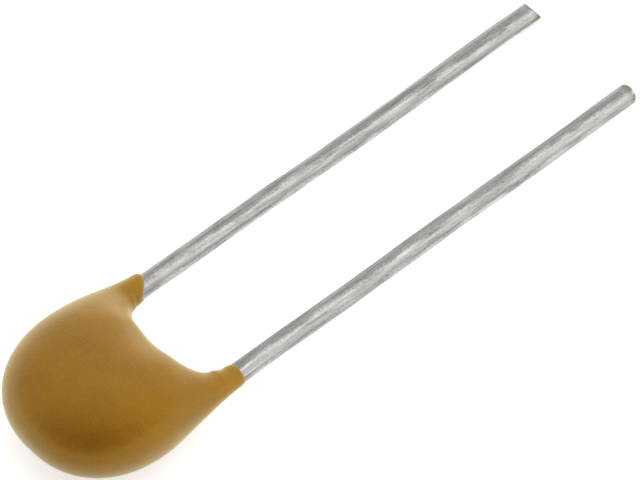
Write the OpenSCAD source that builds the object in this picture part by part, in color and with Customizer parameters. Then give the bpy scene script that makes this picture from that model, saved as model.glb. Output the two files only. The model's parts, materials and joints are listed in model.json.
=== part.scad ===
// Radial multilayer ceramic capacitor: a terminated ceramic chip between two straight tinned wires,
// dipped in epoxy that runs a little way up both wires and leaves a rounded notch between them.
//
// Sizes are in millimetres. The part is built flat, with its wires along +Y, the higher lip of the epoxy
// at y = 0 and the wires' centre lines in the plane z = 0. It is then laid as it comes to rest: the
// underside of the epoxy and the tips of both wires touch z = 0.

/* [Wires] */
// Distance between the centre lines of the wires
wire_pitch = 3.2; // [2.6:0.05:5.4]
// Diameter of the tinned wires
wire_d = 0.5; // [0.4:0.01:0.65]
// Bare length of the left wire, from the epoxy's lip to its sheared tip
wire_free_left = 11.87; // [3:0.05:30]
// Bare length of the right wire, from the epoxy's lip to its rounded tip
wire_free_right = 11.92; // [3:0.05:30]
// Slope of the left wire's sheared end face, in degrees from square
shear_angle = 8; // [0:1:30]
// Direction of the sheared end's long side, in degrees from +X down towards -Z
shear_turn = 30; // [0:5:90]
// Radius that rounds the edge of the right wire's tip
tip_round_r = 0.12; // [0.02:0.01:0.19]

/* [Ceramic chip] */
// Thickness of the fired ceramic chip
chip_t = 1.0; // [0.6:0.05:2]
// Width of the chip, along the wires
chip_w = 2.0; // [1.2:0.05:4]
// Thickness of each electrode plate
electrode_t = 0.005; // [0.002:0.001:0.02]
// Ceramic above the top electrode and below the bottom one
cover_layer = 0.15; // [0.08:0.01:0.25]
// Ceramic beside the electrodes' long edges
side_margin = 0.25; // [0.1:0.01:0.45]
// Ceramic between an electrode's free end and the end cap that it must not touch
end_margin = 0.45; // [0.2:0.01:0.7]

/* [End caps and solder] */
// Thickness of the metal end caps
cap_t = 0.03; // [0.01:0.005:0.06]
// How far an end cap wraps along the chip
cap_band = 0.35; // [0.15:0.01:0.6]
// Solder film between a wire and its end cap, and around the wire
solder_film = 0.03; // [0.01:0.005:0.05]
// Radius of the hollow solder fillets
fillet_r = 0.2; // [0.1:0.01:0.3]
// Distance from the chip's lower edge up to the buried ends of the wires
wire_inset = 0.8; // [0.3:0.05:1.2]
// Distance from the chip's upper edge down to the start of the solder
solder_inset = 0.12; // [0.02:0.01:0.3]
// Solder that closes over the buried end of a wire
solder_end = 0.08; // [0.03:0.01:0.15]

/* [Epoxy coat] */
// Epoxy outside the left wire at the widest point
side_cover_left = 0.37; // [0.15:0.01:0.6]
// Epoxy outside the right wire at the widest point
side_cover_right = 0.2; // [0.15:0.01:0.6]
// Epoxy over each face of the chip at the thickest point
face_cover = 0.565; // [0.45:0.01:1]
// Epoxy between the notch and the chip
notch_cover = 0.68; // [0.55:0.01:1.2]
// Epoxy below the chip
end_cover = 0.98; // [0.75:0.01:1.6]
// How far the widest point lies above the chip's centre
widest_rise = 0.41; // [0:0.01:0.6]
// Depth of the notch below the higher lip
notch_d = 1.02; // [0.8:0.01:1.6]
// Depth of the rounded bottom of the notch
notch_bowl = 0.51; // [0.45:0.01:0.75]
// Epoxy over the left wire's outer side, where its leg is thickest
leg_wall_left = 0.1; // [0.02:0.005:0.14]
// Epoxy over the right wire's outer side, where its leg is thickest
leg_wall_right = 0.03; // [0.02:0.005:0.14]
// Epoxy over both wires there, on the side of the notch
leg_wall_inner = 0.04; // [0.03:0.005:0.06]
// Epoxy between the left wire and the notch where its leg joins the body
notch_wall_left = 0.07; // [0.05:0.005:0.2]
// Epoxy between the right wire and the notch where its leg joins the body
notch_wall_right = 0.15; // [0.05:0.005:0.2]
// Length over which the epoxy rounds off towards a lip
lip_nose = 0.16; // [0.1:0.01:0.3]
// Epoxy left over the wires at the very lip
lip_edge = 0.01; // [0.005:0.005:0.03]
// How far the right lip lies below the left one
lip_drop = 0.06; // [0:0.01:0.3]
// Rise across the left lip for each millimetre towards its outer side
lip_slope_left = 0.55; // [0:0.05:0.8]
// Rise across the right lip for each millimetre towards its outer side
lip_slope_right = 0.1; // [0:0.05:0.8]
// How far the left lip falls off from the wire's middle to its sides
lip_fall_left = 0.1; // [0:0.01:0.2]
// How far the right lip falls off from the wire's middle to its sides
lip_fall_right = 0.02; // [0:0.01:0.2]

/* [Hidden] */
// How each shoulder swells from its leg to the widest point: fullness, then lead-in
swell_left = [1.9, 1.29];
swell_right = [1.2, 1.45];
// Powers of the superellipses: outline of the rounded end, bowl of the notch, and the coat's section
// towards the outer edge and towards the notch
end_power = 2.27;
bowl_power = 2;
outer_power = 2.15;
inner_power = 2.52;
// How quickly the legs swell to the full thickness
thick_power = 1.66;
// Steps around each half of the rounded end, along a shoulder, along a leg, around a lip and a section
end_steps = 15;
shoulder_steps = 8;
leg_steps = 4;
lip_steps = 5;
section_steps = 40;
tip_steps = 6;
// Points around a wire's tip, and steps around the film of solder and along a solder fillet
ring_steps = 48;
film_steps = 20;
fillet_steps = 6;
// How much a wire's radius shrinks from the lip to its buried end
buried_taper = 0.004;
electrode_count = 12;
// How far cutting shapes run past what they cut
run_past = 0.5;
$fn = 64;

wire_r = wire_d / 2;
wire_x = wire_pitch / 2;
leg_r = wire_r + leg_wall_inner;
lip_r = wire_r + lip_edge;
coat_t = chip_t + 2 * face_cover;
chip_top_y = -notch_d - notch_cover;
chip_mid_y = chip_top_y - chip_w / 2;
chip_low_y = chip_top_y - chip_w;
coat_low_y = chip_low_y - end_cover;
widest_y = chip_mid_y + widest_rise;
bowl_y = notch_d - notch_bowl;
cap_face_x = wire_x - wire_r - solder_film;
chip_end_x = cap_face_x - cap_t;
wire_low_y = chip_low_y + wire_inset;
electrode_pitch = (chip_t - 2 * cover_layer - electrode_t) / (electrode_count - 1);

// ---- Surface of the epoxy coat ----
// Sections run from the left lip down its leg, around the body and up to the right lip. Each is a closed
// loop that stands across the plane of the wires, between a point of the notch and one of the outline.

function power(v, p) = sign(v) * pow(abs(v), p);
function lip_y(side) = side < 0 ? 0 : -lip_drop;
function nose_y(side) = lip_y(side) - lip_nose;
function lip_slope(side) = side < 0 ? lip_slope_left : lip_slope_right;
function lip_fall(side) = side < 0 ? lip_fall_left : lip_fall_right;
// How far a lip lies above lip_y at a distance x outwards from the wire's centre line
function lip_shift(side, x) = lip_slope(side) * x - lip_fall(side) * pow(x / lip_r, 2);
function swell(side) = side < 0 ? swell_left : swell_right;
function leg_x(side) = wire_x + wire_r + (side < 0 ? leg_wall_left : leg_wall_right);
function bowl_x(side) = wire_x - wire_r - (side < 0 ? notch_wall_left : notch_wall_right);
function widest_x(side) = wire_x + wire_r + (side < 0 ? side_cover_left : side_cover_right);

function flank_x(side, y) =
    let (top = nose_y(side), s = min(1, max(0, (top - y) / (top - widest_y))), w = swell(side))
    leg_x(side) + (widest_x(side) - leg_x(side)) * pow(1 - pow(1 - s, w[0]), w[1]);

function end_point(side, angle) = [
    widest_x(side) * power(cos(angle), 2 / end_power),
    widest_y - (widest_y - coat_low_y) * power(sin(angle), 2 / end_power)
];

// The point of the notch's bowl on the line from the bowl's centre towards q
function bowl_point(side, q) =
    let (a = atan2(-bowl_y - q[1], q[0]),
         d = pow(pow(abs(cos(a)) / bowl_x(side), bowl_power) + pow(abs(sin(a)) / notch_bowl, bowl_power),
                 -1 / bowl_power))
    [d * cos(a), -bowl_y - d * sin(a)];

// A station is [outer point, inner point, share of the lip's slope]
function body_stations(side) = [
    for (i = [0 : end_steps - 1])
        let (q = end_point(side, 90 * (1 - i / end_steps))) [q, bowl_point(side, q), 0],
    for (i = [0 : shoulder_steps - 1])
        let (y = widest_y + (-bowl_y - widest_y) * i / shoulder_steps, q = [flank_x(side, y), y])
        [q, bowl_point(side, q), 0]
];
function leg_stations(side) = [
    for (i = [0 : leg_steps])
        let (s = i / leg_steps, y = -bowl_y + (nose_y(side) + bowl_y) * s,
             x = bowl_x(side) + (wire_x - leg_r - bowl_x(side)) * sin(90 * s))
        [[flank_x(side, y), y], [x, y], s]
];
function lip_stations(side) = [
    for (i = [1 : lip_steps])
        let (a = 90 * i / lip_steps, y = lip_y(side) - lip_nose * (1 - sin(a)), shrink = 1 - cos(a))
        [[leg_x(side) - (leg_x(side) - wire_x - lip_r) * shrink, y],
         [wire_x - leg_r + (leg_r - lip_r) * shrink, y], 1]
];
function stations(side) = concat(body_stations(side), leg_stations(side), lip_stations(side));

// Half thickness of a section of length l: round on a leg, levelling off at the body's thickness
body_l = -coat_low_y - notch_d - 2 * leg_r;
body_swell = coat_t - 2 * leg_r;
level_l = body_l / pow(pow(body_l / body_swell, thick_power) - 1, 1 / thick_power);
function half_t(l) =
    let (m = max(0, l - 2 * leg_r))
    min(l / 2, leg_r) + m / 2 / pow(1 + pow(m / level_l, thick_power), 1 / thick_power);

function section(side, station) =
    let (q = station[0], p = station[1], mid = (q + p) / 2, arm = (q - p) / 2, t = half_t(norm(q - p)),
         w = min(1, max(0, (norm(q - p) - 2 * leg_r) / level_l)), soft = w * w * (3 - 2 * w))
    [for (i = [0 : section_steps - 1])
        let (a = 360 * i / section_steps,
             n = 2 + soft * ((cos(a) > 0 ? outer_power : inner_power) - 2),
             v = mid + arm * power(cos(a), 2 / n))
        [side * v[0], v[1] + station[2] * lip_shift(side, v[0] - wire_x), t * power(sin(a), 2 / n)]];

function half_coat(side) = [for (s = stations(side)) section(side, s)];
function reversed(list) = [for (i = [len(list) - 1 : -1 : 0]) list[i]];
coat_sections = concat(reversed(half_coat(-1)), [for (i = [1 : len(stations(1)) - 1]) half_coat(1)[i]]);

// ---- Laying the part down ----

function ring_points(x, radius) = [
    for (i = [1 : ring_steps]) let (a = 360 * i / ring_steps) [x + radius * cos(a), 0, radius * sin(a)]
];
// Height of the sheared face above its middle, at an offset (x, z) from the wire's centre line
function shear_y(x, z) = tan(shear_angle) * (x * cos(shear_turn) - z * sin(shear_turn));
left_tip_y = lip_y(-1) + wire_free_left;
right_tip_y = lip_y(1) + wire_free_right;
left_tip = [for (p = ring_points(0, wire_r)) [p[0] - wire_x, left_tip_y + shear_y(p[0], p[2]), p[2]]];
// Profile of the rounded tip: [radius, height]
tip_profile = [
    for (i = [0 : tip_steps])
        let (a = 90 * i / tip_steps)
        [wire_r - tip_round_r * (1 - cos(a)), right_tip_y - tip_round_r * (1 - sin(a))]
];
right_tip = [for (q = tip_profile) for (p = ring_points(wire_x, q[0])) [p[0], q[1], p[2]]];
tip_points = concat(left_tip, right_tip);
coat_points = [for (loop = coat_sections) for (p = loop) p];

function low(points, tilt) = min([for (p = points) p[2] * cos(tilt) - p[1] * sin(tilt)]);
function far(points, tilt) = max([for (p = points) p[1] * cos(tilt) + p[2] * sin(tilt)]);
function near(points, tilt) = min([for (p = points) p[1] * cos(tilt) + p[2] * sin(tilt)]);
// Halves the range a..b until the tips and the epoxy's underside are level
function level_tilt(a, b, steps) =
    let (tilt = (a + b) / 2)
    steps == 0 ? tilt
    : low(tip_points, tilt) > low(coat_points, tilt) ? level_tilt(tilt, b, steps - 1)
    : level_tilt(a, tilt, steps - 1);
tilt = level_tilt(0, 45, 24);
rest_x = -(max([for (p = coat_points) p[0]]) + min([for (p = coat_points) p[0]])) / 2;
rest_y = -(far(tip_points, tilt) + near(coat_points, tilt)) / 2;
rest_z = -min(low(tip_points, tilt), low(coat_points, tilt));

module at_rest() {
    translate([rest_x, rest_y, rest_z]) rotate([-tilt, 0, 0]) children();
}

// ---- Solids, built flat ----

// A box that spans x0..x1, y0..y1 and half the thickness t above and below the plane of the wires
module slab(x0, x1, y0, y1, t) {
    translate([x0, y0, -t / 2]) cube([x1 - x0, y1 - y0, t]);
}

// Stands a shape that was drawn around the origin, with its height along +Z, on a wire's centre line
module on_wire(side, y) {
    translate([side * wire_x, y, 0]) rotate([-90, 0, 0]) children();
}

module coat_surface() {
    n = section_steps;
    last = len(coat_sections) - 1;
    walls = [
        for (i = [0 : last - 1]) for (j = [0 : n - 1])
            let (a = i * n + j, b = i * n + (j + 1) % n)
            each [[a, b, b + n], [a, b + n, a + n]]
    ];
    lips = [[for (j = [n - 1 : -1 : 0]) j], [for (j = [0 : n - 1]) last * n + j]];
    polyhedron(points = coat_points, faces = concat(walls, lips), convexity = 6);
}

// Highest point of a sloping lip
function lip_top_y(side) =
    let (fall = lip_fall(side), top_x = lip_slope(side) * pow(lip_r, 2) / (2 * max(fall, lip_edge)))
    lip_y(side) + lip_shift(side, min(lip_r, top_x));

// The height from which both wires are bare all round
bare_y = max(lip_top_y(-1), lip_top_y(1));
// Profile of a wire up to there: [radius, height]. Below it tapers by a hair, so that its one straight
// round wall is the bare stretch.
shank = [[0, wire_low_y], [wire_r - buried_taper, wire_low_y], [wire_r, bare_y]];

module turned_wire(side, tip) {
    on_wire(side, 0) rotate_extrude() polygon(concat(shank, tip));
}

module left_wire() {
    uncut_y = left_tip_y + run_past;
    difference() {
        turned_wire(-1, [[wire_r, uncut_y], [0, uncut_y]]);
        on_wire(-1, left_tip_y) rotate([0, 0, shear_turn]) rotate([0, -shear_angle, 0])
            translate([-run_past, -run_past, 0]) cube([2 * run_past, 2 * run_past, 2 * run_past]);
    }
}

module right_wire() {
    turned_wire(1, concat(tip_profile, [[0, right_tip_y]]));
}

module wire(side) {
    if (side < 0) left_wire(); else right_wire();
}

// The chip's end at x = side * chip_end_x, with its metal cap wrapped round it
module cap_envelope(side) {
    x0 = chip_end_x - cap_band;
    slab(side < 0 ? -cap_face_x : x0, side < 0 ? -x0 : cap_face_x, chip_low_y - cap_t,
         chip_top_y + cap_t, chip_t + 2 * cap_t);
}

module chip_envelope() {
    slab(-chip_end_x, chip_end_x, chip_low_y, chip_top_y, chip_t);
}

// Plates reach the left end when their number is odd and the right end when it is even
module plate(i) {
    z = -chip_t / 2 + cover_layer + electrode_t / 2 + (i - 1) * electrode_pitch;
    left = i % 2 == 1;
    translate([0, 0, z])
        slab(left ? -chip_end_x : -chip_end_x + end_margin, left ? chip_end_x - end_margin : chip_end_x,
             chip_low_y + side_margin, chip_top_y - side_margin, electrode_t);
}

function arc(centre, radius, from, to, steps) = [
    for (i = [0 : steps])
        let (a = from + (to - from) * i / steps) centre + radius * [cos(a), sin(a)]
];

// Section of the solder across a wire, with the end cap's face on the side of -X: a film around the wire
// that runs out on the cap in a hollow fillet above and below
module solder_section() {
    film_r = wire_r + solder_film;
    fillet_x = fillet_r - film_r;
    fillet_z = sqrt(pow(film_r + fillet_r, 2) - pow(fillet_x, 2));
    touch = atan2(fillet_z, fillet_x);
    polygon(concat(arc([fillet_x, -fillet_z], fillet_r, 180, 180 - touch, fillet_steps),
                   arc([0, 0], film_r, -touch, touch, film_steps),
                   arc([fillet_x, fillet_z], fillet_r, touch - 180, -180, fillet_steps)));
}

module solder_envelope(side) {
    l = chip_top_y - solder_inset - wire_low_y + solder_end;
    on_wire(side, wire_low_y - solder_end) linear_extrude(l) mirror([side < 0 ? 1 : 0, 0])
        solder_section();
}

// ---- Parts ----

module epoxy_coat() {
    color([0.61, 0.44, 0.18]) at_rest() difference() {
        coat_surface();
        chip_envelope();
        for (side = [-1, 1]) {
            wire(side);
            cap_envelope(side);
            solder_envelope(side);
        }
    }
}

module ceramic_block() {
    color([0.86, 0.8, 0.68]) at_rest() difference() {
        chip_envelope();
        for (i = [1 : electrode_count]) plate(i);
    }
}

module electrode(i) {
    color([0.55, 0.55, 0.56]) at_rest() plate(i);
}

module end_cap(side) {
    color([0.78, 0.77, 0.74]) at_rest() difference() {
        cap_envelope(side);
        chip_envelope();
    }
}

module solder(side) {
    color([0.7, 0.71, 0.72]) at_rest() difference() {
        solder_envelope(side);
        wire(side);
    }
}

module lead(side) {
    color([0.67, 0.66, 0.64]) at_rest() wire(side);
}

sides = [["left", -1], ["right", 1]];
function electrode_name(i) = str("electrode_", i < 10 ? "0" : "", i);

epoxy_coat();
ceramic_block();
for (i = [1 : electrode_count]) electrode(i);
for (s = sides) {
    end_cap(s[1]);
    solder(s[1]);
    lead(s[1]);
}
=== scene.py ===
"""Radial multilayer ceramic capacitor: a glossy ochre epoxy coat on two tinned wires, lying on a table."""

import bpy
import numpy as np
from mathutils import Matrix
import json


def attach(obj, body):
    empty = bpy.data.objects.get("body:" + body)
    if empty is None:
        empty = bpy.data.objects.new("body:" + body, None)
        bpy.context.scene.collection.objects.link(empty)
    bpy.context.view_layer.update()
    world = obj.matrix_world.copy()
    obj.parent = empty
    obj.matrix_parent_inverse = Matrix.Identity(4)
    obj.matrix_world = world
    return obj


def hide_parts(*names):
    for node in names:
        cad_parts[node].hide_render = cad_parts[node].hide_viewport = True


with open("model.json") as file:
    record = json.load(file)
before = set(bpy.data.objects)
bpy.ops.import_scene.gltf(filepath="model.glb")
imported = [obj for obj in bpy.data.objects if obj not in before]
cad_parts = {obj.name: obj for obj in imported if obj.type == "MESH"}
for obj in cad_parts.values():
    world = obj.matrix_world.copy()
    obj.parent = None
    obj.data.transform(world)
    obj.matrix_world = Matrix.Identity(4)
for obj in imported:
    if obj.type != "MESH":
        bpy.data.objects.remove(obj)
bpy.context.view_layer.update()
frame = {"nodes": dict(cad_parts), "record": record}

MM = 0.001

# ---- Sizes of the solids, in millimetres. Side -1 is the left one and side 1 the right one ----

# Radius of the wires, and the height of their buried ends
WIRE_R, WIRE_LOW_Y = 0.25, -2.9
# Radius that rounds the edge of the right wire's tip
TIP_ROUND = 0.12
# Epoxy outside a wire at the widest point, outside it on its leg, and between it and the notch
COVER = {-1: 0.37, 1: 0.20}
LEG_WALL = {-1: 0.10, 1: 0.03}
NOTCH_WALL = {-1: 0.07, 1: 0.15}
# Radius of a leg on the side of the notch
LEG_R = WIRE_R + 0.04
# Depth of the notch, and of its rounded bottom
NOTCH_DEPTH, NOTCH_BOWL = 1.02, 0.51
# Heights of the widest point and of the lower end, and the coat's thickness
WIDEST_Y, LOWEST_Y, COAT_T = -2.29, -4.68, 2.13
# How a shoulder swells from its leg to the widest point: fullness, then lead-in
SWELL = {-1: (1.9, 1.29), 1: (1.2, 1.45)}
# A lip's height, its rise for each millimetre outwards, and its fall from the middle to its sides
LIP_Y = {-1: 0.0, 1: -0.06}
LIP_SLOPE = {-1: 0.55, 1: 0.1}
LIP_FALL = {-1: 0.10, 1: 0.02}
# Radius at the very lip, and the length over which a leg rounds off towards it
LIP_R, LIP_NOSE = WIRE_R + 0.01, 0.16
# Powers of the superellipses: the rounded end, the sections outwards and towards the notch, the levelling off
END_POWER, OUTER_POWER, INNER_POWER, THICK_POWER = 2.27, 2.15, 2.52, 1.66

# ---- Small forms of the visible pieces alone, in millimetres ----

# Radius of the coat's two bores, and the depth of their first ring below the lip
BORE_R, BORE_RING = WIRE_R + 0.002, 0.05
# The left tip: rise of its cut for each millimetre of x and of z, how far the cut's middle lies below the
# full length, and how far the cut's dulled edge and the ring just inside it lie below the cut
TIP_SLOPE, TIP_SHORT, TIP_DULL, TIP_DIP = (0.04, -0.536), 0.02, 0.008, 0.003
# Length of the stretch whose rings turn from square to that cut
TIP_RUN = 0.3
# How far a wire's last stretch bends along x and z, where it starts, and the length of the bend
BEND = {-1: -0.062, 1: -0.008}
LIFT = {-1: 0.006, 1: 0.0}
BEND_Y, BEND_REACH = 8.0, 3.0
# Waves of a wire's radius: [size, radians a millimetre, turns around, share of the phase], and its mean loss
WAVES = ((0.0030, 2.1, 2, 1), (0.0018, 5.3, -3, 2))
WAVE_LOSS = 0.0020
# Waves of its centre line along x and z: [size, radians a millimetre, share of the phase]
STRAY_X, STRAY_Z = (0.009, 1.1, 1), (0.003, 1.4, 2)
PHASE = {-1: 1.3, 1: 4.1}
# Above the lips: length of wire that stays true, then the length over which the waves grow
TRUE_LENGTH, GROW_LENGTH = 0.2, 0.8

# ---- Rings of the coat and of the wires ----

COAT_AROUND, END_RINGS, SHOULDER_RINGS, LEG_RINGS, LIP_RINGS, BORE_RINGS = 128, 44, 40, 22, 14, 6
WIRE_AROUND, BURIED_RINGS, BARE_RINGS, TIP_RINGS = 72, 12, 220, 12
# Shares of the radius at which the rings of each tip's face lie
LEFT_FACE, RIGHT_FACE = (0.988, 0.962, 0.8, 0.5, 0.2), (0.8, 0.5, 0.2)


def mount(name):
    """The record's mount of that name."""
    return next(m for m in frame["record"]["mounts"] if m["name"] == name)


def lip_shift(side, out):
    """How far a lip lies above its own height at a distance outwards from the wire's centre line: a
    slope, less a square that makes the lip fall off to both sides."""
    return LIP_SLOPE[side] * out - LIP_FALL[side] * (out / LIP_R) ** 2


def lip_top(side):
    """The highest point of a lip."""
    return LIP_Y[side] + lip_shift(side, min(LIP_R, LIP_SLOPE[side] * LIP_R ** 2 / (2 * LIP_FALL[side])))


# The part is described flat: x across the wires, y along them from the left lip, z up from their plane.
# The mounts start where both wires are bare all round, and give how that plane lies on the table.
left_pin, right_pin = mount("pin_left"), mount("pin_right")
ALONG = np.array(left_pin["axis"], float)
BARE_Y = max(lip_top(-1), lip_top(1))
TIP_Y = {-1: BARE_Y + left_pin["dims"]["length_mm"], 1: BARE_Y + right_pin["dims"]["length_mm"]}
WIRE_X = (right_pin["pos_m"][0] - left_pin["pos_m"][0]) / 2 / MM
ORIGIN = np.array(left_pin["pos_m"]) - ALONG * (BARE_Y + TIP_Y[-1]) / 2 * MM
ORIGIN[0] = (left_pin["pos_m"][0] + right_pin["pos_m"][0]) / 2
LAID = np.column_stack([[1.0, 0.0, 0.0], ALONG, np.cross([1.0, 0.0, 0.0], ALONG)])


def lay(points):
    """Flat millimetres to the row's metres: turned by the rest's tilt, then moved to the lip."""
    return ORIGIN + (np.asarray(points) * MM) @ LAID.T


def signed_power(v, p):
    """The power p of the size of v, with v's own sign."""
    return np.sign(v) * np.abs(v) ** p


def eased(s):
    """An eased step: three squares less two cubes."""
    return s * s * (3 - 2 * s)


def add_object(name, data):
    """A new object in the scene, which stands at the origin and holds a mesh or a camera."""
    thing = bpy.data.objects.new(name, data)
    bpy.context.scene.collection.objects.link(thing)
    return thing


def ring_mesh(name, grid):
    """A mesh from a grid of rings (rings, points a ring, 3): neighbours make quads, each ring is closed,
    and the first and last rings are closed by fans around their centres."""
    rings, n, _ = grid.shape
    i = np.arange(rings - 1)[:, None] * n
    j = np.arange(n)[None]
    k = (j + 1) % n
    quads = np.stack([i + n + j, i + n + k, i + k, i + j], -1).reshape(-1, 4)
    a, b = np.arange(n), (np.arange(n) + 1) % n
    top = (rings - 1) * n
    low = np.stack([np.full(n, rings * n), a, b], -1)
    high = np.stack([np.full(n, rings * n + 1), top + b, top + a], -1)
    points = np.concatenate([lay(grid.reshape(-1, 3)), lay(grid[[0, -1]].mean(1))])
    mesh = bpy.data.meshes.new(name)
    mesh.from_pydata(points.tolist(), [], quads.tolist() + low.tolist() + high.tolist())
    mesh.polygons.foreach_set("use_smooth", np.full(len(mesh.polygons), True))
    mesh.update()
    return add_object(name, mesh)


# ---- Epoxy coat ----

def coat_side(side):
    """Half of the coat as rings from its lower end's middle up to the lip and down its bore.

    A ring joins a point of the outline to a point of the notch. The outline is a superellipse quarter
    below the widest point and above it an eased swell down to the leg. The notch is a half ellipse
    bowl, then an eased line to the leg. The ring itself is a superellipse whose half thickness grows
    with the distance of its two points and levels off. Towards the lip the leg rounds off as a quarter
    ellipse, and its rings are shifted along the wire by a slope less a square, so that the lip leans
    and falls off to its sides. The bore is a straight tube inside it."""
    swell, lip_y = SWELL[side], LIP_Y[side]
    half_w = WIRE_X + WIRE_R + COVER[side]
    leg_x = WIRE_X + WIRE_R + LEG_WALL[side]
    nose_y = lip_y - LIP_NOSE
    bowl_y, bowl_x = NOTCH_DEPTH - NOTCH_BOWL, WIRE_X - WIRE_R - NOTCH_WALL[side]

    def flank(y):
        s = np.clip((nose_y - y) / (nose_y - WIDEST_Y), 0, 1)
        return leg_x + (half_w - leg_x) * (1 - (1 - s) ** swell[0]) ** swell[1]

    # Rounded end and shoulder, each outline point with the bowl's point on the line to the bowl's centre
    a = np.pi / 2 * (1 - np.arange(END_RINGS) / END_RINGS)
    outer = np.stack([half_w * signed_power(np.cos(a), 2 / END_POWER),
                      WIDEST_Y - (WIDEST_Y - LOWEST_Y) * signed_power(np.sin(a), 2 / END_POWER)], 1)
    y = WIDEST_Y + (-bowl_y - WIDEST_Y) * np.arange(SHOULDER_RINGS) / SHOULDER_RINGS
    outer = np.concatenate([outer, np.stack([flank(y), y], 1)])
    turn = np.arctan2(-bowl_y - outer[:, 1], outer[:, 0])
    reach = ((np.abs(np.cos(turn)) / bowl_x) ** 2 + (np.abs(np.sin(turn)) / NOTCH_BOWL) ** 2) ** -0.5
    inner = np.stack([reach * np.cos(turn), -bowl_y - reach * np.sin(turn)], 1)
    lean = np.zeros(len(outer))
    # Leg
    s = np.arange(LEG_RINGS + 1) / LEG_RINGS
    y = -bowl_y + (nose_y + bowl_y) * s
    outer = np.concatenate([outer, np.stack([flank(y), y], 1)])
    x = bowl_x + (WIRE_X - LEG_R - bowl_x) * np.sin(np.pi / 2 * s)
    inner = np.concatenate([inner, np.stack([x, y], 1)])
    # Lip
    b = np.pi / 2 * np.arange(1, LIP_RINGS + 1) / LIP_RINGS
    shrink = 1 - np.cos(b)
    y = lip_y - LIP_NOSE * (1 - np.sin(b))
    outer = np.concatenate([outer, np.stack([leg_x - (leg_x - WIRE_X - LIP_R) * shrink, y], 1)])
    inner = np.concatenate([inner, np.stack([WIRE_X - LEG_R + (LEG_R - LIP_R) * shrink, y], 1)])
    # Bore
    y = np.concatenate([[lip_y], np.linspace(lip_y - BORE_RING, WIRE_LOW_Y, BORE_RINGS)])
    outer = np.concatenate([outer, np.stack([np.full(len(y), WIRE_X + BORE_R), y], 1)])
    inner = np.concatenate([inner, np.stack([np.full(len(y), WIRE_X - BORE_R), y], 1)])
    lean = np.concatenate([lean, s, np.full(LIP_RINGS + 1, 1.0), np.linspace(1, 0, BORE_RINGS)])

    body_l, body_t = -LOWEST_Y - NOTCH_DEPTH - 2 * LEG_R, COAT_T - 2 * LEG_R
    level = body_l / ((body_l / body_t) ** THICK_POWER - 1) ** (1 / THICK_POWER)
    l = np.linalg.norm(outer - inner, axis=1)
    m = np.maximum(0, l - 2 * LEG_R)
    half_t = np.minimum(l / 2, LEG_R) + m / 2 / (1 + (m / level) ** THICK_POWER) ** (1 / THICK_POWER)
    squareness = eased(np.clip(m / level, 0, 1))[:, None]
    c = 2 * np.pi * np.arange(COAT_AROUND)[None] / COAT_AROUND
    n = 2 + squareness * (np.where(np.cos(c) > 0, OUTER_POWER, INNER_POWER) - 2)
    reach = signed_power(np.cos(c), 2 / n)[..., None]
    v = ((outer + inner) / 2)[:, None] + ((outer - inner) / 2)[:, None] * reach
    z = half_t[:, None] * signed_power(np.sin(c), 2 / n)
    y = v[..., 1] + lean[:, None] * lip_shift(side, v[..., 0] - WIRE_X)
    return np.stack([side * v[..., 0], y, z], -1)


def make_coat():
    """Both halves of the coat joined at the lower end's middle into one closed skin with two blind bores."""
    left, right = coat_side(-1), coat_side(1)
    return ring_mesh("coat", np.concatenate([left[::-1], right[1:]]))


# ---- Wires ----

def wire_rings(side, high_y):
    """Rings of a wire from its buried end up to high_y. Its centre line strays and its radius swells by
    a few thousandths of a millimetre, as a sum of slow sine waves, and its last stretch bends as an
    eased step. All of it is nil where the wire is buried."""
    true_y = BARE_Y + TRUE_LENGTH
    y = np.concatenate([np.linspace(WIRE_LOW_Y, true_y, BURIED_RINGS)[:-1],
                        np.linspace(true_y, high_y, BARE_RINGS)])
    fade = np.clip((y - true_y) / GROW_LENGTH, 0, 1)
    c = 2 * np.pi * np.arange(WIRE_AROUND)[None] / WIRE_AROUND
    waves = sum(size * np.sin(rate * y[:, None] + turns * c + share * PHASE[side])
                for size, rate, turns, share in WAVES)
    r = WIRE_R + fade[:, None] * (waves - WAVE_LOSS)
    bend = eased(np.clip((y - BEND_Y) / BEND_REACH, 0, 1))
    stray, lift = (fade * size * np.sin(rate * y + share * PHASE[side]) + reach[side] * bend
                   for (size, rate, share), reach in ((STRAY_X, BEND), (STRAY_Z, LIFT)))
    x = side * WIRE_X + stray[:, None] + r * np.cos(c)
    z = lift[:, None] + r * np.sin(c)
    return np.stack([x, y[:, None] + 0 * c, z], -1)


def make_left_wire():
    """The left wire: rings up to its tip, where each ring's height follows the sheared plane, and a flat
    face inside its slightly dulled edge."""
    tip_y = TIP_Y[-1] - TIP_SHORT
    rings = wire_rings(-1, tip_y - TIP_RUN)
    last = rings[-1]
    centre = last.mean(0)
    dx, dz = last[:, 0] - centre[0], last[:, 2] - centre[2]
    rise = TIP_SLOPE[0] * dx + TIP_SLOPE[1] * dz
    s = np.linspace(0, 1, TIP_RINGS)[1:, None]
    edge_y = last[None, :, 1] * (1 - s) + (tip_y + rise - TIP_DULL)[None] * s
    edge = np.stack([np.broadcast_to(last[:, 0], edge_y.shape), edge_y,
                     np.broadcast_to(last[:, 2], edge_y.shape)], -1)
    share = np.array(LEFT_FACE)[:, None]
    dip = np.where(share == share.max(), TIP_DIP, 0.0)
    face = np.stack([centre[0] + dx * share, tip_y + rise * share - dip, centre[2] + dz * share], -1)
    return ring_mesh("wire_left", np.concatenate([rings, edge, face]))


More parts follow.
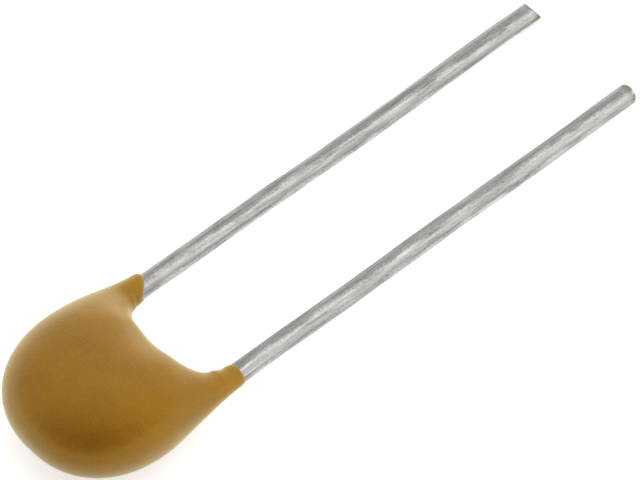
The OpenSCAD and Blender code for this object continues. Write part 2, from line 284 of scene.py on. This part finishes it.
def make_right_wire():
    """The right wire: rings up to its tip, whose edge is a quarter circle, and a flat face inside it."""
    tip_y = TIP_Y[1]
    rings = wire_rings(1, tip_y - TIP_ROUND)
    last = rings[-1]
    centre = last.mean(0)
    offset = last - centre
    b = np.pi / 2 * np.arange(1, TIP_RINGS + 1) / TIP_RINGS
    share = 1 - TIP_ROUND / WIRE_R * (1 - np.cos(b))
    height = tip_y - TIP_ROUND * (1 - np.sin(b))
    share = np.concatenate([share, share[-1] * np.array(RIGHT_FACE)])
    height = np.concatenate([height, np.full(len(RIGHT_FACE), tip_y)])
    end = np.stack([centre[0] + offset[None, :, 0] * share[:, None],
                    np.broadcast_to(height[:, None], (len(share), len(last))),
                    centre[2] + offset[None, :, 2] * share[:, None]], -1)
    return ring_mesh("wire_right", np.concatenate([rings, end]))


# ---- Materials ----

class Nodes:
    """Short calls for the nodes of a material or a world."""

    def __init__(self, owner):
        owner.use_nodes = True
        self.owner, self.tree = owner, owner.node_tree
        self.shader = next(n for n in self.tree.nodes if n.type in ("BSDF_PRINCIPLED", "BACKGROUND"))

    def fill(self, socket, value):
        """Links another socket to this one, or sets its value."""
        if isinstance(value, bpy.types.NodeSocket):
            self.tree.links.new(value, socket)
        else:
            socket.default_value = value

    def add(self, kind, inputs=None, **settings):
        """A new node with its settings made and its inputs filled."""
        node = self.tree.nodes.new(kind)
        for key, value in settings.items():
            setattr(node, key, value)
        for key, value in (inputs or {}).items():
            self.fill(node.inputs[key], value)
        return node

    def set(self, **values):
        """Fills the shader's own inputs, with an underscore for each space in their names."""
        for key, value in values.items():
            self.fill(self.shader.inputs[key.replace("_", " ")], value)

    def where(self):
        """The place on the piece, in the row's metres."""
        return self.add("ShaderNodeTexCoord").outputs["Object"]

    def noise(self, step, scale, detail, rough, along_wire=False):
        """A noise whose pattern steps are so many millimetres each way, divided by its scale, and lie
        along the wires if asked."""
        place = self.where()
        if along_wire:
            tilt = float(np.arcsin(-ALONG[2]))
            place = self.add("ShaderNodeMapping", {"Vector": place, "Rotation": (tilt, 0, 0)}).outputs[0]
        place = self.add("ShaderNodeMapping", {"Vector": place,
                                               "Scale": tuple(1 / (mm * MM) for mm in step)}).outputs[0]
        return self.add("ShaderNodeTexNoise", {"Vector": place, "Scale": scale, "Detail": detail,
                                               "Roughness": rough}).outputs["Fac"]

    def dot(self, place, axis):
        """The distance of a place along an axis."""
        return self.add("ShaderNodeVectorMath", {0: place, 1: tuple(axis)},
                        operation="DOT_PRODUCT").outputs["Value"]

    def math(self, operation, a, b, clamp=False):
        """One operation on two numbers, held between 0 and 1 if asked."""
        return self.add("ShaderNodeMath", {0: a, 1: b}, operation=operation, use_clamp=clamp).outputs[0]

    def blend(self, a, b, share):
        """The sum of a and b, each times its share; b's share is what a's leaves of one."""
        return self.math("ADD", self.math("MULTIPLY", a, share), self.math("MULTIPLY", b, 1 - share))

    def span(self, value, lo, hi, to_lo, to_hi, kind="LINEAR"):
        """The range lo to hi carried over to the range to_lo to to_hi, and held at its ends."""
        return self.add("ShaderNodeMapRange", {"Value": value, "From Min": lo, "From Max": hi,
                                               "To Min": to_lo, "To Max": to_hi},
                        interpolation_type=kind).outputs[0]

    def sway(self, noise, half, size, middle=0.0):
        """A noise's range of so much around 0.5 carried over to so much around another middle."""
        return self.span(noise, 0.5 - half, 0.5 + half, middle - size, middle + size)

    def ramp(self, value, stops):
        """The colour at a value, between stops of [value, colour]."""
        node = self.add("ShaderNodeValToRGB", {"Fac": value})
        band = node.color_ramp
        for i, (at, colour) in enumerate(stops):
            stop = band.elements[i] if i < 2 else band.elements.new(at)
            stop.position, stop.color = at, (*colour, 1.0)
        return node.outputs["Color"]

    def mix(self, share, a, b):
        """Colour a turned to colour b by a share."""
        return self.add("ShaderNodeMix", {0: share, 6: a, 7: (*b, 1.0)}, data_type="RGBA").outputs[2]

    def bump(self, height, millimetres, strength):
        """The normal over a relief of so many millimetres."""
        return self.add("ShaderNodeBump", {"Height": height, "Distance": millimetres * MM,
                                           "Strength": strength}).outputs[0]


# The epoxy's colour at the dark and at the light end of its mottle, and the paler colour painted up the legs
# as a painted reflection
EPOXY_DARK, EPOXY_LIGHT, EPOXY_PAINTED_REFLECTION = (0.204, 0.0722, 0.0006), (0.318, 0.1175, 0.0030), (0.40, 0.19, 0.022)
# Where that painted reflection up the legs starts and is full, in millimetres below the left lip, and how
# much it shows
PAINTED_REFLECTION_FROM, PAINTED_REFLECTION_TO, PAINTED_REFLECTION_SHARE = 1.0, 0.2, 0.5
EPOXY_GLOSS_TINT, EPOXY_SHEEN_TINT = (1.0, 0.90, 0.15, 1.0), (1.0, 0.93, 0.45, 1.0)

# Painted reflections of the surroundings on a wire, bands of light and shade across it: [place across it from
# its upper -X side to its lower +X side, brightness], how far that direction across is turned from straight
# down to +X, and the metal's faint warm tint
WIRE_PAINTED_REFLECTIONS = ((0.00, 0.30), (0.12, 0.29), (0.24, 0.26), (0.37, 0.31), (0.45, 0.47), (0.55, 0.45),
              (0.68, 0.39), (0.79, 0.28), (0.88, 0.37), (0.97, 0.50))
PAINTED_REFLECTION_TURN = np.radians(60.0)
WIRE_TINT = (1.0, 0.985, 0.945)
# The stain at a tip, and where it starts and is full, in millimetres below and above the wire's full length
STAIN, STAIN_BELOW, STAIN_ABOVE = (0.15, 0.125, 0.075), 0.26, 0.02


def epoxy_material():
    """Glossy dipped epoxy: ochre with a slow mottle, a fine grain in colour and a faint orange peel. Up
    the legs its colour is painted paler, a painted reflection of the white surroundings."""
    n = Nodes(bpy.data.materials.new("ochre_epoxy"))
    even = (1, 1, 1)
    mottle = n.noise(even, 0.9, 3.0, 0.55)
    peel = n.noise(even, 6.0, 2.0, 0.5)
    grain = n.noise(even, 27.0, 2.0, 0.7)
    colour = n.ramp(n.blend(mottle, grain, 0.4), ((0.35, EPOXY_DARK), (0.65, EPOXY_LIGHT)))
    # Painted reflection: the colour is painted paler up the legs, towards the lip.
    lip = float(ALONG @ lay([0.0, 0.0, 0.0]))
    painted_reflection = n.span(n.dot(n.where(), ALONG), lip - PAINTED_REFLECTION_FROM * MM, lip - PAINTED_REFLECTION_TO * MM, 0.0, PAINTED_REFLECTION_SHARE)
    n.set(Base_Color=n.mix(painted_reflection, colour, EPOXY_PAINTED_REFLECTION), IOR=1.55, Roughness=n.sway(grain, 0.2, 0.04, 0.34),
          Specular_Tint=EPOXY_GLOSS_TINT, Sheen_Weight=1.0, Sheen_Roughness=0.45,
          Sheen_Tint=EPOXY_SHEEN_TINT, Normal=n.bump(n.blend(peel, grain, 0.5), 0.012, 0.8))
    return n.owner


def wire_material(side):
    """Tinned wire: satin metal with painted reflections, bands of light and shade that lie along it by
    their place around the wire and wander a little; long streaks, light patches and a fine grain in
    brightness, roughness and relief; and a few small dark stains at the cut."""
    n = Nodes(bpy.data.materials.new("tinned_wire_left" if side < 0 else "tinned_wire_right"))
    streak = n.noise((0.06, 1.1, 0.06), 1.0, 3.0, 0.65, along_wire=True)
    patch = n.noise((0.20, 0.75, 0.20), 1.0, 2.0, 0.5, along_wire=True)
    grain = n.noise((0.028, 0.05, 0.028), 1.0, 2.0, 0.6, along_wire=True)
    spots = n.noise((0.13, 0.13, 0.13), 1.0, 2.0, 0.6)

    # Painted reflections: bands of light and shade in the colour, set by the place across the wire.
    across = LAID @ np.array([np.sin(PAINTED_REFLECTION_TURN), 0.0, -np.cos(PAINTED_REFLECTION_TURN)])
    middle, reach = float(across @ lay([side * WIRE_X, 0.0, 0.0])), WIRE_R * MM
    place = n.span(n.dot(n.where(), across), middle - reach, middle + reach, 0.0, 1.0)
    place = n.math("ADD", place, n.sway(patch, 0.25, 0.07))
    place = n.math("ADD", place, n.sway(grain, 0.3, 0.05))
    painted_reflection_bands = n.ramp(place, tuple((at, tuple(v * tint for tint in WIRE_TINT)) for at, v in WIRE_PAINTED_REFLECTIONS))

    gain = n.math("ADD", n.sway(streak, 0.2, 0.26), n.sway(grain, 0.25, 0.26))
    gain = n.math("ADD", gain, n.sway(patch, 0.2, 0.14, 1.0))
    # The painted reflection bands times the random tone of streaks, grain and patches.
    metal_and_painted_reflections = n.add("ShaderNodeVectorMath", {0: painted_reflection_bands, 1: gain}, operation="MULTIPLY").outputs[0]

    tip = float(ALONG @ lay([side * WIRE_X, TIP_Y[side], 0.0]))
    near_tip = n.span(n.dot(n.where(), ALONG), tip - STAIN_BELOW * MM, tip + STAIN_ABOVE * MM, 0.0, 1.0)
    stain = n.math("MULTIPLY", near_tip, n.span(spots, 0.34, 0.46, 0.0, 1.0), clamp=True)
    n.set(Base_Color=n.mix(stain, metal_and_painted_reflections, STAIN), Metallic=1.0,
          Roughness=n.span(streak, 0.35, 0.7, 0.46, 0.28),
          Normal=n.bump(n.blend(streak, grain, 0.6), 0.010, 0.6))
    return n.owner


def plain_material(name, dark, light, rough, step, metallic=0.0):
    """A finish of the sealed inner pieces: two close colours in a noise of so fine a step, with a
    matching bump."""
    n = Nodes(bpy.data.materials.new(name))
    grain = n.noise((step, step, step), 1.0, 3.0, 0.6)
    n.set(Base_Color=n.ramp(grain, ((0.35, dark), (0.65, light))), Metallic=metallic,
          Roughness=n.sway(grain, 0.2, 0.06, rough), Normal=n.bump(grain, 0.004, 0.4))
    return n.owner


def dress(piece, material):
    """Gives a piece one material in place of any it has."""
    piece.data.materials.clear()
    piece.data.materials.append(material)


for maker, node, slot, material in ((make_coat, "epoxy_coat", "epoxy", epoxy_material()),
                                    (make_left_wire, "lead_left", "tinned_wire", wire_material(-1)),
                                    (make_right_wire, "lead_right", "tinned_wire", wire_material(1))):
    piece = maker()
    dress(piece, material)
    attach(piece, "root")
    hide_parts(node)

inner_finishes = {
    "ceramic": plain_material("fired_ceramic", (0.62, 0.54, 0.40), (0.72, 0.64, 0.50), 0.7, 0.05),
    "electrode": plain_material("electrode_film", (0.22, 0.22, 0.23), (0.32, 0.32, 0.33), 0.5, 0.03, 1.0),
    "end_cap": plain_material("end_cap_plating", (0.52, 0.51, 0.47), (0.62, 0.60, 0.56), 0.45, 0.04, 1.0),
    "solder": plain_material("solder", (0.42, 0.43, 0.45), (0.56, 0.57, 0.58), 0.35, 0.08, 1.0)}
for name, node in frame["nodes"].items():
    for start, material in inner_finishes.items():
        if name.startswith(start):
            dress(node, material)


# ---- Table, light and camera ----

# Half the table's width in metres, and the glow that lifts its lit white to full white
TABLE_HALF, TABLE_GLOW = 0.3, 0.6
# The tent's level, what its lamp adds at most, and the direction of that lamp
LEVEL, LAMP, LAMP_AT = 0.88, 0.6, (0.32, 0.68, 0.66)
# What the tent's low walls add at most, and the heights between which that runs out
LOW_WALLS, LOW_FROM, LOW_TO = 2.6, -0.1, 0.32
# The dim round opening: its direction, its half width and half height, its level inside, the squared
# share of its reach at which its soft edge begins, and what keeps it off the far side of the tent
OPENING_AT, OPENING_WIDE, OPENING_HIGH, OPENING_LEVEL = (0.42, -0.60, 0.66), 1.05, 0.66, 0.0
OPENING_EDGE, FAR_SIDE = 0.1, 9.0

# The line of sight to the flat part, and in millimetres the camera's distance and how far across and up
# the middle of its view lies from the point midway between the wires at the left lip's height. Then
# pixels a millimetre there, the view's width in pixels, the sensor's in its own unit, and the clipping
AZIMUTH, ELEVATION = np.radians([48.2, 52.4])
DISTANCE, ACROSS, UP, PER_MM = 128.0, 2.8377, 1.96, 45.4
IMAGE_WIDTH, SENSOR_WIDTH, CLIP = 640.0, 36.0, (0.01, 10.0)


def make_floor():
    """A plain pale table top, square, with its face at z = 0. To the camera and in reflections a little
    even glow lifts its lit white to full white, so that only the object's shadow stays darker."""
    h = TABLE_HALF
    mesh = bpy.data.meshes.new("floor")
    mesh.from_pydata([(-h, -h, 0), (h, -h, 0), (h, h, 0), (-h, h, 0)], [], [(0, 1, 2, 3)])
    floor = add_object("floor", mesh)
    n = Nodes(bpy.data.materials.new("pale_table"))
    rays = n.add("ShaderNodeLightPath").outputs
    seen = n.math("MAXIMUM", rays["Is Camera Ray"], rays["Is Glossy Ray"])
    seen = n.math("MAXIMUM", seen, rays["Is Transmission Ray"])
    n.set(Base_Color=(0.8, 0.8, 0.8, 1.0), Roughness=0.9, Specular_IOR_Level=0.0,
          Emission_Color=(1.0, 1.0, 1.0, 1.0), Emission_Strength=n.math("MULTIPLY", seen, TABLE_GLOW))
    dress(floor, n.owner)


def make_world():
    """A white light tent, plain white to the camera. It gives even light from every side, more from the
    lamp's side and from the low walls, and less in a soft round opening on the camera's side."""
    n = Nodes(bpy.data.worlds.new("studio"))
    bpy.context.scene.world = n.owner
    where = n.add("ShaderNodeTexCoord").outputs["Generated"]
    middle = np.array(OPENING_AT) / np.linalg.norm(OPENING_AT)
    sideways = np.cross([0.0, 0.0, 1.0], middle)
    sideways /= np.linalg.norm(sideways)
    wide = n.dot(where, sideways / OPENING_WIDE)
    high = n.dot(where, np.cross(middle, sideways) / OPENING_HIGH)
    away = n.math("ADD", n.math("MULTIPLY", wide, wide), n.math("MULTIPLY", high, high))
    behind = n.math("LESS_THAN", n.dot(where, middle), 0.0)
    away = n.math("ADD", away, n.math("MULTIPLY", behind, FAR_SIDE))
    opening = n.span(away, OPENING_EDGE, 1.0, OPENING_LEVEL, 1.0, "SMOOTHSTEP")
    lamp = n.span(n.dot(where, LAMP_AT), 0.0, 1.0, 0.0, LAMP, "SMOOTHSTEP")
    height = n.add("ShaderNodeSeparateXYZ", {"Vector": where}).outputs["Z"]
    low = n.span(height, LOW_FROM, LOW_TO, LOW_WALLS, 0.0, "SMOOTHSTEP")
    walls = n.math("MULTIPLY", n.math("ADD", lamp, 1.0), opening)
    level = n.math("MULTIPLY", n.math("ADD", walls, low), LEVEL)
    seen = n.add("ShaderNodeLightPath").outputs["Is Camera Ray"]
    n.set(Color=(1, 1, 1, 1), Strength=n.add("ShaderNodeMix", {0: seen, 2: level, 3: 1.0}).outputs[0])


def make_camera():
    """A long lens that looks along a line fixed to the flat part."""
    level = np.cos(ELEVATION)
    sight = np.array([np.sin(AZIMUTH) * level, -np.cos(AZIMUTH) * level, np.sin(ELEVATION)])
    right = np.array([np.cos(AZIMUTH), np.sin(AZIMUTH), 0.0])
    above = np.cross(sight, right)
    data = bpy.data.cameras.new("camera")
    data.sensor_width = SENSOR_WIDTH
    data.lens = SENSOR_WIDTH * PER_MM * DISTANCE / IMAGE_WIDTH
    data.clip_start, data.clip_end = CLIP
    matrix = np.eye(4)
    matrix[:3, :3] = LAID @ np.column_stack([right, above, sight])
    matrix[:3, 3] = lay(ACROSS * right + UP * above + DISTANCE * sight)
    camera = add_object("camera", data)
    camera.matrix_world = Matrix(matrix.tolist())
    bpy.context.scene.camera = camera


make_floor()
make_world()
make_camera()
bpy.context.scene.view_settings.view_transform = "Standard"
